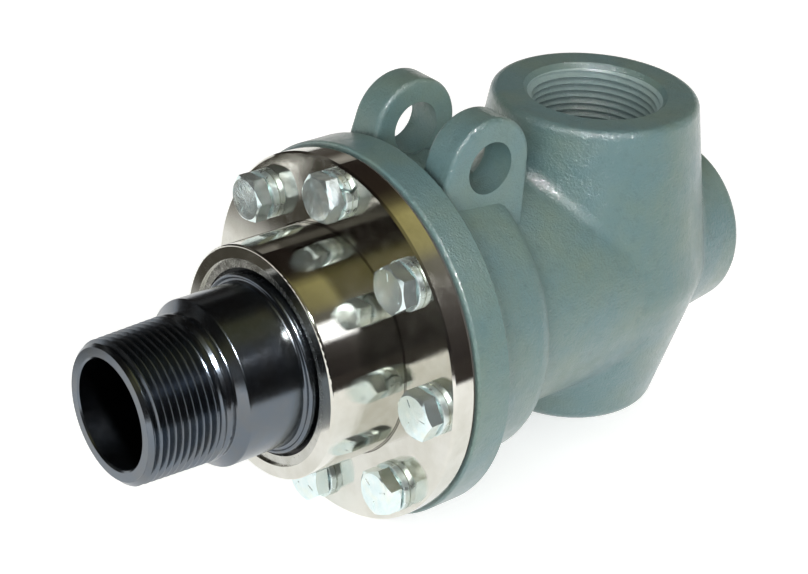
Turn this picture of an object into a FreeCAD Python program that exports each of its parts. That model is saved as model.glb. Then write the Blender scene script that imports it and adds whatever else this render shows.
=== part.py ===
import FreeCAD, Part
import math
import os
import Sketcher
from FreeCAD import Vector

# Hydraulic rotary union, millimetres. The rotor turns on X with its nose towards -X, the top
# port opens towards +Z, and the origin is the root of the rotor's pipe thread.

sizes = {
    # rotor, from its nose to the seat of the turning seal face
    "thread_length": 25.5,
    "thread_radius": 21.08,
    "thread_lead": 1.8,
    "flow_radius": 16.0,
    "flow_chamfer": 0.5,
    "neck_radius": 21.6,
    "neck_length": 1.9,
    "collar_radius": 24.1,
    "collar_end": 23.2,
    "collar_fillet": 1.6,
    "shoulder_radius": 26.3,
    "shoulder_edge": 0.4,
    "abutment_radius": 22.5,
    "abutment_length": 1.5,
    "ring_groove_depth": 1.25,
    "rotor_ring_thickness": 1.75,
    "rotor_ring_radius": 23.2,
    "rotor_ring_mouth": 7.0,
    "groove_play": 0.05,
    "tail_length": 2.15,
    "seat_spigot_radius": 18.5,
    "seat_spigot_length": 5.0,
    # bearing cap, its bolts and the two seals at its mouth
    "nose_reach": 23.9,
    "hub_radius": 35.0,
    "hub_length": 26.0,
    "hub_edge": 0.7,
    "cap_radius": 56.0,
    "cap_thickness": 7.5,
    "cap_edge": 0.6,
    "seal_bore_depth": 9.0,
    "lip_radius": 28.0,
    "lip_thickness": 3.0,
    "spigot_radius": 36.0,
    "spigot_gap": 0.5,
    "spigot_play": 0.05,
    "hub_ring_setback": 0.9,
    "hub_ring_thickness": 2.0,
    "hub_ring_radius": 32.4,
    "hub_ring_inner_radius": 28.1,
    "hub_ring_mouth": 2.0,
    "dust_seal_case": 1.4,
    "dust_lip_gap": 0.1,
    "gasket_thickness": 0.5,
    "bolt_count": 8,
    "bolt_offset": 1.5,
    "bolt_radius": 4.0,
    "bolt_hole_radius": 4.5,
    "bolt_length": 20.0,
    "bolt_head_height": 5.3,
    "bolt_head_flats": 13.0,
    "bolt_head_chamfer": 0.35,
    "bolt_head_angle": 30.0,
    "bolt_end_chamfer": 1.0,
    "bolt_hole_depth": 10.2,
    "drill_point": 2.0,
    "thread_play": 0.05,
    "washer_radius": 7.4,
    "washer_thickness": 2.1,
    "washer_split": 1.0,
    # tapered roller bearings
    "bearing_bore_radius": 20.0,
    "bearing_radius": 31.0,
    "bearing_width": 15.0,
    "cup_width": 12.0,
    "spacer_width": 3.0,
    "spacer_radius": 23.4,
    "roller_count": 18,
    "roller_radius": 2.5,
    "roller_length": 9.0,
    "roller_angle": 10.5,
    "roller_centre": 7.5,
    "roller_gap": 0.1,
    "small_rib_radius": 22.9,
    "small_rib_place": 4.25,
    "large_rib_radius": 25.2,
    "large_rib_place": 5.05,
    "cage_thickness": 1.0,
    "cage_rise": 0.4,
    "cage_overhang": 1.3,
    "pocket_gap": 0.2,
    # face seal between the rotor and the housing
    "seat_width": 6.0,
    "seat_radius": 23.5,
    "seat_play": 0.02,
    "seat_cord": 1.5,
    "seat_groove_place": 1.6,
    "seat_groove_width": 2.4,
    "carbon_nose_inner_radius": 19.4,
    "carbon_nose_radius": 22.6,
    "carbon_nose_length": 2.0,
    "carbon_inner_radius": 18.0,
    "carbon_radius": 25.0,
    "carbon_length": 7.0,
    "carbon_play": 0.05,
    "carrier_cup_depth": 3.0,
    "carrier_radius": 28.4,
    "carrier_flange": 5.0,
    "carrier_inner_radius": 17.0,
    "carrier_tail_radius": 20.0,
    "carrier_tail_length": 14.0,
    "carrier_play": 0.06,
    "spring_height": 4.0,
    "spring_strip": 0.6,
    "spring_inner_radius": 20.9,
    "spring_outer_radius": 23.6,
    "spring_waves": 3,
    "cord_section": 2.5,
    "cord_groove_width": 3.4,
    "cord_groove_place": 4.0,
    "pin_radius": 1.5,
    "pin_circle_radius": 25.7,
    "pin_count": 2,
    "pin_depth": 6.0,
    "pin_reach": 2.5,
    "pin_travel": 1.7,
    "pin_play": 0.15,
    # cast housing
    "flange_radius": 57.2,
    "flange_thickness": 12.0,
    "flange_edge": 0.8,
    "shoulder_front_radius": 49.5,
    "shoulder_back_radius": 47.2,
    "shoulder_length": 27.8,
    "shoulder_round": 8.0,
    "shoulder_root": 3.4,
    "barrel_radius": 39.5,
    "cross_place": 92.7,
    "waist_radius": 41.0,
    "waist_round": 20.0,
    "port_height": 56.1,
    "port_rim_radius": 32.1,
    "port_rim_round": 2.6,
    "port_thread_radius": 21.08,
    "port_thread_depth": 25.0,
    "port_chamfer": 1.3,
    "boss_depth": 47.0,
    "boss_radius": 28.2,
    "boss_round": 5.0,
    "rear_place": 46.6,
    "rear_root_place": 14.0,
    "rear_root_radius": 31.4,
    "rear_radius": 27.6,
    "rear_round": 2.6,
    "casting_blend": 5.0,
    "rear_thread_radius": 16.7,
    "rear_thread_depth": 23.0,
    "rear_passage_radius": 14.5,
    "chamber_radius": 29.0,
    "land_length": 13.0,
    "core_radius": 27.0,
    "core_end": 17.4,
    "well_radius": 22.0,
    "well_depth": 39.0,
    "well_bevel": 6.0,
    # anti-rotation lugs on top of the housing
    "lug_place": 29.6,
    "lug_height": 54.3,
    "lug_radius": 15.0,
    "lug_hole_radius": 8.0,
    "lug_saddle": 0.6,
    "lug_thickness": 11.4,
    "lug_gap": 21.6,
    "lug_foot_place": 11.6,
    "lug_foot_height": 47.0,
    "lug_depth": 30.0,
    "lug_edge": 1.6,
}

# Places along the rotor axis and radii that follow from the sizes above.
places = {
    "cap_front": "Sizes.nose_reach + Sizes.hub_length",
    "cap_back": "cap_front + Sizes.cap_thickness",
    "face": "cap_back + Sizes.gasket_thickness",
    "lip_front": "Sizes.nose_reach + Sizes.seal_bore_depth",
    "front_back": "lip_front + Sizes.lip_thickness",
    "rear_back": "front_back + 2 * Sizes.bearing_width + Sizes.spacer_width",
    "spigot_end": "rear_back - Sizes.spigot_gap",
    "hub_ring_front": "Sizes.nose_reach + Sizes.hub_ring_setback",
    "hub_ring_back": "hub_ring_front + Sizes.hub_ring_thickness",
    "hub_ring_seat": "hub_ring_back + Sizes.groove_play",
    "tail_start": "rear_back + Sizes.rotor_ring_thickness + 2 * Sizes.groove_play",
    "tail_end": "tail_start + Sizes.tail_length",
    "seal_plane": "tail_end + Sizes.seat_width",
    "carbon_back": "seal_plane + Sizes.carbon_length",
    "carrier_back": "carbon_back + Sizes.carrier_flange",
    "carrier_end": "carrier_back + Sizes.carrier_tail_length",
    "land_front": "carrier_back + Sizes.spring_height",
    "land_back": "land_front + Sizes.land_length",
    "cord_groove_front": "land_front + Sizes.cord_groove_place",
    "bolt_circle": "(Sizes.hub_radius + Sizes.cap_radius) / 2 + Sizes.bolt_offset",
    "head_seat": "cap_front - Sizes.washer_thickness",
    "head_front": "head_seat - Sizes.bolt_head_height",
    "flange_back": "face + Sizes.flange_thickness",
    "shoulder_end": "flange_back + Sizes.shoulder_length",
    "cross": "face + Sizes.cross_place",
    "rear_root": "cross + Sizes.rear_root_place",
    "rear_end": "cross + Sizes.rear_place",
    "core_back": "cross + Sizes.core_end",
    "lug_centre": "face + Sizes.lug_place",
    "lug_front": "face + Sizes.lug_foot_place",
    "roller_tilt": "Sizes.roller_angle * 1 deg",
    "roller_pitch": "(Sizes.bearing_bore_radius + Sizes.bearing_radius) / 2",
    "roller_taper": "atan(Sizes.roller_radius * sin(roller_tilt) / roller_pitch)",
    "cup_slope": "tan(roller_tilt + roller_taper)",
    "cone_slope": "tan(roller_tilt - roller_taper)",
    "race_offset": "Sizes.roller_radius + Sizes.roller_gap",
    "cup_rise": "race_offset * (cos(roller_tilt) + sin(roller_tilt) * cup_slope)",
    "cone_drop": "race_offset * (cos(roller_tilt) + sin(roller_tilt) * cone_slope)",
    "cup_mid": "roller_pitch + cup_rise",
    "cone_mid": "roller_pitch - cone_drop",
    "roller_growth": "Sizes.roller_length / 2 * tan(roller_taper)",
}

doc = FreeCAD.newDocument("RotaryUnion")
subparts = []


def add_sheet(name, cells):
    """Fill a sheet with one named cell per row."""
    sheet = doc.addObject("Spreadsheet::Sheet", name)
    for row, (alias, content) in enumerate(cells.items(), start=1):
        sheet.set(f"A{row}", alias)
        sheet.set(f"B{row}", str(content))
        sheet.setAlias(f"B{row}", alias)
    doc.recompute()
    return sheet


sizes_sheet = add_sheet("Sizes", sizes)
places_sheet = add_sheet("Places", {name: "=" + formula for name, formula in places.items()})


def size(name):
    return "Sizes." + name


def place(name):
    return "Places." + name


def number(expression):
    """The present value of an expression on the two sheets."""
    found = sizes_sheet.evalExpression(str(expression))
    return float(getattr(found, "Value", found))


def new_body(name, base=None):
    """A body that is one sub-part of the union, or starts from the solid of another object."""
    body = doc.addObject("PartDesign::Body", name.title().replace("_", ""))
    body.Label = name
    if base:
        body.BaseFeature = base
        doc.recompute()
    subparts.append(body)
    return body


def blank(name):
    """A body that only goes into another solid."""
    return doc.addObject("PartDesign::Body", name.title() + "Blank")


def origin_item(body, role):
    return next(item for item in body.Origin.OriginFeatures if item.Role == role)


def new_sketch(body, name, role="XZ_Plane", lift=None):
    """A sketch on one of the body's own origin planes, lifted along the plane's normal."""
    sketch = body.newObject("Sketcher::SketchObject", name)
    sketch.AttachmentSupport = (origin_item(body, role), "")
    sketch.MapMode = "FlatFace"
    if lift:
        sketch.setExpression("AttachmentOffset.Base.z", lift)
    return sketch


def fix_point(sketch, line, end, point):
    """Tie one end of a line to a pair of expressions."""
    for kind, expression in zip(("DistanceX", "DistanceY"), point):
        index = sketch.addConstraint(
            Sketcher.Constraint(kind, -1, 1, line, end, number(expression)))
        sketch.setExpression(f"Constraints[{index}]", str(expression))


def outline(sketch, points):
    """A closed run of straight lines through points given as expressions."""
    spots = [Vector(number(across), number(up), 0) for across, up in points]
    count = len(points)
    first = sketch.GeometryCount
    for index in range(count):
        sketch.addGeometry(Part.LineSegment(spots[index], spots[(index + 1) % count]))
    for index in range(count):
        following = first + (index + 1) % count
        sketch.addConstraint(Sketcher.Constraint("Coincident", first + index, 2, following, 1))
        fix_point(sketch, first + index, 1, points[index])


def centre_line(sketch, start, end):
    """A construction line that a profile turns about."""
    ends = [Vector(number(across), number(up), 0) for across, up in (start, end)]
    line = sketch.addGeometry(Part.LineSegment(*ends), True)
    fix_point(sketch, line, 1, start)
    fix_point(sketch, line, 2, end)


def turned(body, name, points, axis=None, cut=False, role="XZ_Plane", lift=None):
    """Turn a profile about X, or about its own centre line, to add or to cut."""
    before = body.Shape.Volume if cut else 0
    sketch = new_sketch(body, name + "Profile", role, lift)
    outline(sketch, points)
    if axis:
        centre_line(sketch, *axis)
    kind = "PartDesign::Groove" if cut else "PartDesign::Revolution"
    feature = body.newObject(kind, name)
    feature.Profile = sketch
    feature.ReferenceAxis = (sketch, ["Axis0" if axis else "H_Axis"])
    feature.Angle = 360
    sketch.Visibility = False
    doc.recompute()
    if cut and not body.Shape.Volume < before:
        raise ValueError(f"{body.Label}: {name} cuts nothing")
    return feature


def ring(name, points):
    """A sub-part that is a single turned profile."""
    body = new_body(name)
    turned(body, "Turned", points)
    return body


def repeated(body, name, features, count):
    """Repeat features round the rotor axis."""
    pattern = body.newObject("PartDesign::PolarPattern", name)
    pattern.Originals = features
    pattern.Axis = (features[0].Profile[0], ["H_Axis"])
    pattern.Angle = 360
    pattern.setExpression("Occurrences", count)
    body.Tip = pattern
    doc.recompute()
    return pattern


def drilled(body, name, start, end, centre, radius, count, tip=0):
    """Holes parallel to the rotor axis on a circle, with a drill point at their far end."""
    points = [(start, centre), (f"{end} + {tip}", centre), (end, f"{centre} + {radius}"),
              (start, f"{centre} + {radius}")]
    hole = turned(body, name, points, axis=((start, centre), (end, centre)), cut=True)
    return repeated(body, name + "Ring", [hole], count)


def circles(body, spot, radius, axis=Vector(1, 0, 0)):
    """Names of the round edges about an axis, at a place along it and a radius."""
    found = []
    for index, edge in enumerate(body.Shape.Edges, start=1):
        curve = edge.Curve
        if not isinstance(curve, Part.Circle) or abs(curve.Axis.dot(axis)) < 0.999:
            continue
        if abs(curve.Center.dot(axis) - number(spot)) < 0.01 and abs(curve.Radius - number(radius)) < 0.01:
            found.append(f"Edge{index}")
    return found


def dressed(body, name, edges, amount, kind="Fillet"):
    """Round or bevel edges of the body's last feature."""
    if not edges:
        raise ValueError(f"{body.Label}: {name} finds no edge")
    base = body.Tip
    feature = body.newObject("PartDesign::" + kind, name)
    feature.Base = (base, edges)
    feature.setExpression("Radius" if kind == "Fillet" else "Size", amount)
    doc.recompute()
    return feature


def make_rotor():
    rotor = new_body("rotor")
    seat = size("bearing_bore_radius")
    groove = f"{seat} - {size('ring_groove_depth')}"
    bore = size("flow_radius")
    mouth = f"{bore} + {size('flow_chamfer')}"
    tail_stop = f"{place('tail_end')} + {size('seat_spigot_length')}"
    abutment = f"{place('front_back')} - {size('abutment_length')}"
    nose = f"-{size('thread_length')}"
    chamfer_end = f"{size('neck_length')} + {size('collar_radius')} - {size('neck_radius')}"
    turned(rotor, "Turned", [
        (nose, mouth),
        (nose, f"{size('thread_radius')} - {size('thread_lead')}"),
        (f"{nose} + {size('thread_lead')}", size("thread_radius")),
        (0, size("thread_radius")),
        (0, size("neck_radius")),
        (size("neck_length"), size("neck_radius")),
        (chamfer_end, size("collar_radius")),
        (size("collar_end"), size("collar_radius")),
        (size("collar_end"), size("shoulder_radius")),
        (abutment, size("shoulder_radius")),
        (abutment, size("abutment_radius")),
        (place("front_back"), size("abutment_radius")),
        (place("front_back"), seat),
        (place("rear_back"), seat),
        (place("rear_back"), groove),
        (place("tail_start"), groove),
        (place("tail_start"), seat),
        (place("tail_end"), seat),
        (place("tail_end"), size("seat_spigot_radius")),
        (tail_stop, size("seat_spigot_radius")),
        (tail_stop, mouth),
        (f"{tail_stop} - {size('flow_chamfer')}", bore),
        (f"{nose} + {size('flow_chamfer')}", bore),
    ])
    root = circles(rotor, size("collar_end"), size("collar_radius"))
    dressed(rotor, "CollarFillet", root, size("collar_fillet"))
    edge = circles(rotor, size("collar_end"), size("shoulder_radius"))
    dressed(rotor, "ShoulderEdge", edge, size("shoulder_edge"))


def make_bearing_cap():
    cap = new_body("bearing_cap")
    bore = size("bearing_radius")
    groove = f"{size('hub_ring_radius')} + {size('groove_play')}"
    groove_front = f"{place('hub_ring_front')} - {size('groove_play')}"
    turned(cap, "Turned", [
        (size("nose_reach"), bore),
        (size("nose_reach"), size("hub_radius")),
        (place("cap_front"), size("hub_radius")),
        (place("cap_front"), size("cap_radius")),
        (place("cap_back"), size("cap_radius")),
        (place("cap_back"), size("spigot_radius")),
        (place("spigot_end"), size("spigot_radius")),
        (place("spigot_end"), bore),
        (place("front_back"), bore),
        (place("front_back"), size("lip_radius")),
        (place("lip_front"), size("lip_radius")),
        (place("lip_front"), bore),
        (place("hub_ring_seat"), bore),
        (place("hub_ring_seat"), groove),
        (groove_front, groove),
        (groove_front, bore),
    ])
    hub = circles(cap, size("nose_reach"), size("hub_radius"))
    dressed(cap, "HubEdge", hub, size("hub_edge"))
    rims = circles(cap, place("cap_front"), size("cap_radius"))
    rims += circles(cap, place("cap_back"), size("cap_radius"))
    dressed(cap, "RimEdges", rims, size("cap_edge"), "Chamfer")
    drilled(cap, "BoltHole", place("cap_front"), place("cap_back"), place("bolt_circle"),
            size("bolt_hole_radius"), size("bolt_count"))


def make_gasket():
    inner = f"{size('spigot_radius')} + {size('spigot_play')}"
    outer = f"{size('cap_radius')} - {size('cap_edge')}"
    gasket = ring("cap_gasket", [(place("cap_back"), inner), (place("cap_back"), outer),
                                 (place("face"), outer), (place("face"), inner)])
    drilled(gasket, "BoltHole", place("cap_back"), place("face"), place("bolt_circle"),
            size("bolt_hole_radius"), size("bolt_count"))


def make_bolts():
    """Eight hexagon head bolts, with the bevelled corners of a forged head."""
    bolts = new_body("cap_bolts")
    centre = place("bolt_circle")
    end = f"{place('head_seat')} + {size('bolt_length')}"
    shank = f"{centre} + {size('bolt_radius')}"
    axis = ((place("head_front"), centre), (end, centre))
    stem = turned(bolts, "Shank", [
        (place("head_front"), centre), (place("head_front"), shank),
        (f"{end} - {size('bolt_end_chamfer')}", shank),
        (end, f"{shank} - {size('bolt_end_chamfer')}"), (end, centre)], axis=axis)
    sketch = new_sketch(bolts, "HeadProfile", "YZ_Plane", place("head_front"))
    corner = f"{size('bolt_head_flats')} / sqrt(3)"
    outline(sketch, [(f"{corner} * cos({60 * side} deg)",
                      f"{centre} + {corner} * sin({60 * side} deg)") for side in range(6)])
    head = bolts.newObject("PartDesign::Pad", "Head")
    head.Profile = sketch
    head.setExpression("Length", size("bolt_head_height"))
    sketch.Visibility = False
    doc.recompute()
    top = place("head_front")
    flat = f"{centre} + {size('bolt_head_flats')} / 2 - {size('bolt_head_chamfer')}"
    beyond = f"{centre} + {corner} + 1"
    slope = f"({beyond} - ({flat})) * tan({size('bolt_head_angle')} * 1 deg)"
    bevel = turned(bolts, "HeadBevel", [(top, flat), (top, beyond), (f"{top} + {slope}", beyond)],
                   axis=axis, cut=True)
    repeated(bolts, "BoltRing", [stem, head, bevel], size("bolt_count"))


def make_lock_washers():
    """Split spring washers, squeezed flat between the bolt heads and the cap."""
    washers = new_body("lock_washers")
    centre = place("bolt_circle")
    inner = f"{centre} + {size('bolt_radius')} + {size('thread_play')}"
    outer = f"{centre} + {size('washer_radius')}"
    front, back = place("head_seat"), place("cap_front")
    body_ring = turned(washers, "Coil", [(front, inner), (front, outer), (back, outer), (back, inner)],
                       axis=((front, centre), (back, centre)))
    sketch = new_sketch(washers, "SplitProfile")
    outline(sketch, [(f"{front} - 1", outer + " + 1"), (f"{back} + 1", outer + " + 1"),
                     (f"{back} + 1", centre), (f"{front} - 1", centre)])
    split = washers.newObject("PartDesign::Pocket", "Split")
    split.Profile = sketch
    split.Midplane = True
    split.setExpression("Length", size("washer_split"))
    sketch.Visibility = False
    doc.recompute()
    repeated(washers, "WasherRing", [body_ring, split], size("bolt_count"))


def cut_mouth(body, radius, width):
    """Open a ring at its lowest point, from its inside to beyond its rim."""
    sketch = new_sketch(body, "MouthProfile", "XY_Plane")
    before = body.Shape.Volume
    box = body.Shape.BoundBox
    reach = box.XMin - 1, box.XMax + 1
    half = f"{width} / 2"
    outline(sketch, [(reach[0], f"-{half}"), (reach[1], f"-{half}"), (reach[1], half), (reach[0], half)])
    mouth = body.newObject("PartDesign::Pocket", "Mouth")
    mouth.Profile = sketch
    mouth.setExpression("Length", f"{radius} + 1")
    sketch.Visibility = False
    doc.recompute()
    if not body.Shape.Volume < before:
        raise ValueError(f"{body.Label}: the mouth cuts nothing")


def make_retaining_rings():
    groove = f"{size('bearing_bore_radius')} - {size('ring_groove_depth')}"
    front = f"{place('rear_back')} + {size('groove_play')}"
    back = f"{front} + {size('rotor_ring_thickness')}"
    inner = f"{groove} + {size('groove_play')}"
    outer = size("rotor_ring_radius")
    rotor_ring = ring("rotor_retaining_ring",
                      [(front, inner), (front, outer), (back, outer), (back, inner)])
    cut_mouth(rotor_ring, outer, size("rotor_ring_mouth"))
    inner, outer = size("hub_ring_inner_radius"), size("hub_ring_radius")
    front, back = place("hub_ring_front"), place("hub_ring_back")
    hub_ring = ring("hub_retaining_ring",
                    [(front, inner), (front, outer), (back, outer), (back, inner)])
    cut_mouth(hub_ring, outer, size("hub_ring_mouth"))


def make_dust_seal():
    """Lip seal pressed in the cap's mouth, with its lip over the rotor's shoulder."""
    case = size("dust_seal_case")
    front, back = place("hub_ring_seat"), place("lip_front")
    outer = size("bearing_radius")
    lip = f"{size('shoulder_radius')} + {size('dust_lip_gap')}"
    ring("dust_seal", [
        (front, outer), (back, outer), (back, f"{outer} - {case}"),
        (f"{front} + {case}", f"{outer} - {case}"),
        (f"{front} + {case}", f"{lip} + {case}"),
        (f"{front} + 2.6 * {case}", lip),
        (f"{front} + 0.4 * {case}", lip),
        (front, f"{lip} + 0.4 * {case}"),
    ])


def make_bearing(prefix, back, sense):
    """One tapered roller bearing: cup, cone, rollers and cage.

    back is the cup's back face, and sense the way along X in which the rollers grow.
    """
    def along_axis(run):
        return f"{back} + {sense} * ({run})"

    middle = size("roller_centre")
    width = size("bearing_width")
    cup_width = size("cup_width")

    def cup_radius(run):
        return f"{place('cup_mid')} + ({run} - {middle}) * {place('cup_slope')}"

    def cone_radius(run):
        return f"{place('cone_mid')} + ({run} - {middle}) * {place('cone_slope')}"

    ring(prefix + "_bearing_cup", [
        (along_axis(0), size("bearing_radius")),
        (along_axis(cup_width), size("bearing_radius")),
        (along_axis(cup_width), cup_radius(cup_width)),
        (along_axis(0), cup_radius(0)),
    ])

    small_rib = f"{middle} - {size('small_rib_place')}"
    large_rib = f"{middle} + {size('large_rib_place')}"
    bore = size("bearing_bore_radius")
    ring(prefix + "_bearing_cone", [
        (along_axis(0), bore),
        (along_axis(0), size("small_rib_radius")),
        (along_axis(small_rib), size("small_rib_radius")),
        (along_axis(small_rib), cone_radius(small_rib)),
        (along_axis(large_rib), cone_radius(large_rib)),
        (along_axis(large_rib), size("large_rib_radius")),
        (along_axis(width), size("large_rib_radius")),
        (along_axis(width), bore),
    ])

    tilt = place("roller_tilt")

    def on_roller(run, rise):
        """A point given along and across the axis of the top roller."""
        return (along_axis(f"{middle} + ({run}) * cos({tilt}) - ({rise}) * sin({tilt})"),
                f"{place('roller_pitch')} + ({run}) * sin({tilt}) + ({rise}) * cos({tilt})")

    def roller_profile(extra):
        half = f"{size('roller_length')} / 2 + {extra}"
        small = f"{size('roller_radius')} - {place('roller_growth')} + {extra}"
        large = f"{size('roller_radius')} + {place('roller_growth')} + {extra}"
        ends = on_roller(f"-({half})", 0), on_roller(half, 0)
        return [ends[0], on_roller(f"-({half})", small), on_roller(half, large), ends[1]], ends

    rollers = new_body(prefix + "_bearing_rollers")
    profile, axis = roller_profile(0)
    roller = turned(rollers, "Roller", profile, axis=axis)
    repeated(rollers, "RollerRing", [roller], size("roller_count"))

    reach = f"{size('roller_length')} / 2 + {size('cage_overhang')}"
    inner = f"{size('cage_rise')} - {size('cage_thickness')} / 2"
    outer = f"{size('cage_rise')} + {size('cage_thickness')} / 2"
    cage = ring(prefix + "_bearing_cage", [
        on_roller(f"-({reach})", inner), on_roller(f"-({reach})", outer),
        on_roller(reach, outer), on_roller(reach, inner)])
    profile, axis = roller_profile(size("pocket_gap"))
    pocket = turned(cage, "Pocket", profile, axis=axis, cut=True)
    repeated(cage, "PocketRing", [pocket], size("roller_count"))


def make_spacer():
    front = f"{place('front_back')} + {size('bearing_width')}"
    back = f"{front} + {size('spacer_width')}"
    inner, outer = size("bearing_bore_radius"), size("spacer_radius")
    ring("bearing_spacer", [(front, inner), (front, outer), (back, outer), (back, inner)])


def make_seal_seat():
    """Hardened ring that turns with the rotor, and the cord that seals its bore."""
    front, back = place("tail_end"), place("seal_plane")
    bore = f"{size('seat_spigot_radius')} + {size('seat_play')}"
    groove = f"{bore} + {size('seat_cord')}"
    groove_front = f"{front} + {size('seat_groove_place')}"
    groove_back = f"{groove_front} + {size('seat_groove_width')}"
    ring("seal_seat", [
        (front, bore), (front, size("seat_radius")), (back, size("seat_radius")), (back, bore),
        (groove_back, bore), (groove_back, groove), (groove_front, groove), (groove_front, bore)])
    middle = f"{groove_front} + {size('seat_groove_width')} / 2"
    cord("seat_o_ring", middle, bore, f"{groove} - {size('seat_play')}")


def cord(name, middle, inner, outer):
    """A rubber ring squeezed to an eight-sided section between two radii."""
    half = f"({outer} - ({inner})) / 2"
    centre = f"({outer} + {inner}) / 2"
    turn = [math.pi / 4 * (index + 0.5) for index in range(8)]
    swell = 1 / math.cos(math.pi / 8)
    ring(name, [(f"{middle} + {swell * math.cos(angle)} * {half}",
                 f"{centre} + {swell * math.sin(angle)} * {half}") for angle in turn])


def make_carbon_ring():
    front, back = place("seal_plane"), place("carbon_back")
    step = f"{front} + {size('carbon_nose_length')}"
    ring("carbon_seal_ring", [
        (front, size("carbon_nose_inner_radius")), (front, size("carbon_nose_radius")),
        (step, size("carbon_nose_radius")), (step, size("carbon_radius")),
        (back, size("carbon_radius")), (back, size("carbon_inner_radius")),
        (step, size("carbon_inner_radius"))])


def make_carrier():
    """Steel sleeve that holds the carbon ring and slides in the housing's land."""
    carrier = new_body("seal_carrier")
    floor, back = place("carbon_back"), place("carrier_back")
    mouth = f"{floor} - {size('carrier_cup_depth')}"
    pocket = f"{size('carbon_radius')} + {size('carbon_play')}"
    turned(carrier, "Turned", [
        (mouth, pocket), (mouth, size("carrier_radius")), (back, size("carrier_radius")),
        (back, size("carrier_tail_radius")), (place("carrier_end"), size("carrier_tail_radius")),
        (place("carrier_end"), size("carrier_inner_radius")), (floor, size("carrier_inner_radius")),
        (floor, pocket)])
    depth = f"{back} - {size('pin_reach')} - {size('pin_travel')}"
    drilled(carrier, "PinHole", back, depth, size("pin_circle_radius"),
            f"{size('pin_radius')} + {size('pin_play')}", size("pin_count"))


def make_pins():
    pins = new_body("anti_rotation_pins")
    centre = size("pin_circle_radius")
    front = f"{place('carrier_back')} - {size('pin_reach')}"
    back = f"{place('land_front')} + {size('pin_depth')}"
    edge = f"{centre} + {size('pin_radius')}"
    pin = turned(pins, "Pin", [(front, centre), (front, edge), (back, edge), (back, centre)],
                 axis=((front, centre), (back, centre)))
    repeated(pins, "PinRing", [pin], size("pin_count"))


def make_carrier_cord():
    middle = f"{place('cord_groove_front')} + {size('cord_groove_width')} / 2"
    inner = f"{size('carrier_tail_radius')} + {size('carrier_play')}"
    cord("carrier_o_ring", middle, inner, f"{inner} + {size('cord_section')}")


def make_wave_spring():
    """Flat strip closed in a ring, waved between the carrier and the land."""
    strip, waves = number(size("spring_strip")), number(size("spring_waves"))
    clear = number(size("groove_play"))
    front = number(place("carrier_back")) + clear / 2
    swing = (number(size("spring_height")) - strip - clear) / 2
    radii = number(size("spring_inner_radius")), number(size("spring_outer_radius"))
    steps = int(12 * waves)

    def waved(radius, lift):
        points = []
        for step in range(steps):
            angle = 2 * math.pi * step / steps
            along = front + lift + swing * (1 + math.cos(waves * angle))
            points.append(Vector(along, radius * math.cos(angle), radius * math.sin(angle)))
        curve = Part.BSplineCurve()
        curve.interpolate(points, True)
        return curve.toShape()

    corners = [waved(radii[0], 0), waved(radii[1], 0), waved(radii[1], strip), waved(radii[0], strip)]
    faces = [Part.makeRuledSurface(corners[side], corners[(side + 1) % 4]) for side in range(4)]
    shell = Part.makeShell([face for side in faces for face in side.Faces])
    shell.sewShape()
    solid = Part.makeSolid(shell)
    if solid.Volume < 0:
        solid.reverse()
    spring = doc.addObject("Part::Feature", "WaveSpring")
    spring.Label = "wave_spring"
    spring.Shape = solid
    subparts.append(spring)


def add_lug(lugs, name, side):
    """An upright lug with a rounded top, on one side of the XZ plane."""
    sketch = new_sketch(lugs, name + "Profile", "XZ_Plane", f"{side} * {size('lug_gap')} / 2")
    centre = place("lug_centre"), size("lug_height")
    radius = size("lug_radius")
    rear = f"{place('lug_centre')} + {radius}"
    corners = [(place("lug_front"), size("lug_foot_height")), (place("lug_front"), size("lug_depth")),
               (rear, size("lug_depth"))]
    spots = [Vector(number(across), number(up), 0) for across, up in corners]
    hub = Vector(number(centre[0]), number(centre[1]), 0)
    lean = (hub - spots[0]).Length
    rise = math.atan2(hub.y - spots[0].y, hub.x - spots[0].x)
    end = rise + math.asin(number(radius) / lean) + math.pi / 2
    round_top = Part.ArcOfCircle(Part.Circle(hub, Vector(0, 0, 1), number(radius)), 0, end)
    sketch.addGeometry([
        Part.LineSegment(spots[0], spots[1]),
        Part.LineSegment(spots[1], spots[2]),
        Part.LineSegment(spots[2], round_top.StartPoint),
        round_top,
        Part.LineSegment(round_top.EndPoint, spots[0]),
    ])
    sketch.addConstraint([
        Sketcher.Constraint("Coincident", 0, 2, 1, 1),
        Sketcher.Constraint("Coincident", 1, 2, 2, 1),
        Sketcher.Constraint("Tangent", 2, 2, 3, 1),
        Sketcher.Constraint("Tangent", 3, 2, 4, 1),
        Sketcher.Constraint("Coincident", 4, 2, 0, 1),
        Sketcher.Constraint("Vertical", 2),
    ])
    fix_point(sketch, 0, 1, corners[0])
    fix_point(sketch, 0, 2, corners[1])
    level = sketch.addConstraint(Sketcher.Constraint("DistanceY", -1, 1, 1, 2, spots[2].y))
    sketch.setExpression(f"Constraints[{level}]", size("lug_depth"))
    fix_point(sketch, 3, 3, centre)
    bend = sketch.addConstraint(Sketcher.Constraint("Radius", 3, number(radius)))
    sketch.setExpression(f"Constraints[{bend}]", radius)
    lug = lugs.newObject("PartDesign::Pad", name)
    lug.Profile = sketch
    lug.Reversed = side < 0
    lug.setExpression("Length", size("lug_thickness"))
    sketch.Visibility = False
    doc.recompute()


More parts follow.
